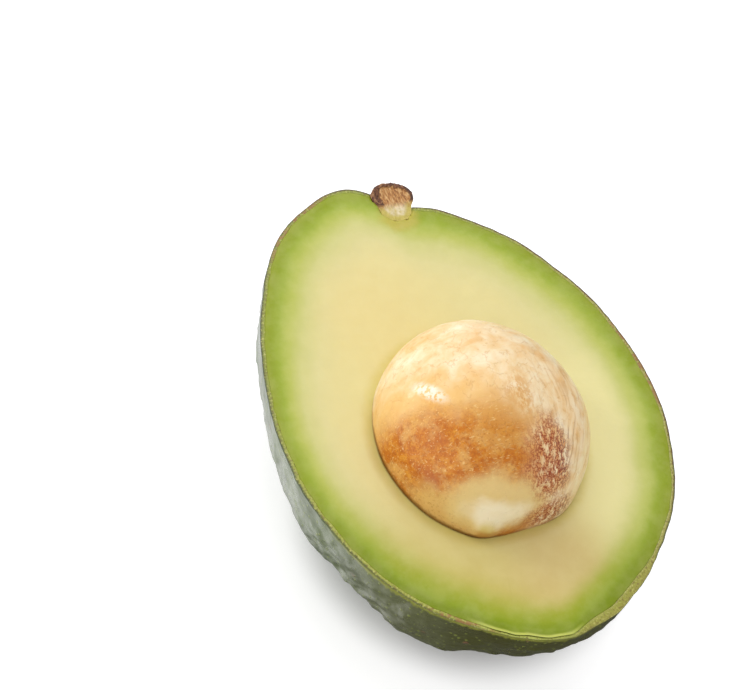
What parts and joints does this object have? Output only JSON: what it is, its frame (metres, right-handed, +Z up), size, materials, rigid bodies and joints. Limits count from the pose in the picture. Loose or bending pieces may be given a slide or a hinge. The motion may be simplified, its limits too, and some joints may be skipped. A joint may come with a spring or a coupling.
{
  "type": "avocado half",
  "caption": "Cut half of a ripe avocado lying on its rounded back, cut face up, with the whole seed in its hollow and the halved woody stem end.",
  "frame": {"origin": "on the resting surface, under the middle of the fruit's bounding box", "axes": "+Z up, square to the cut face, which faces up; +Y along the fruit towards the stem end; +X to the right looking down on the cut face with the stem end away from the viewer"},
  "size_m": [0.0721, 0.0961, 0.0541],
  "materials": {
    "skin": "waxy, pebbled, dark green with yellow-green dots",
    "flesh": "moist, soft; cream inside, green towards the skin",
    "seed": "moist, mottled caramel and cream, with fine veins",
    "stem": "rough dark bark over orange-tan wood"
  },
  "bodies": {
    "root": {"skin": "skin", "flesh": "flesh", "seed": "seed", "stem": "stem"}
  },
  "joints": []
}
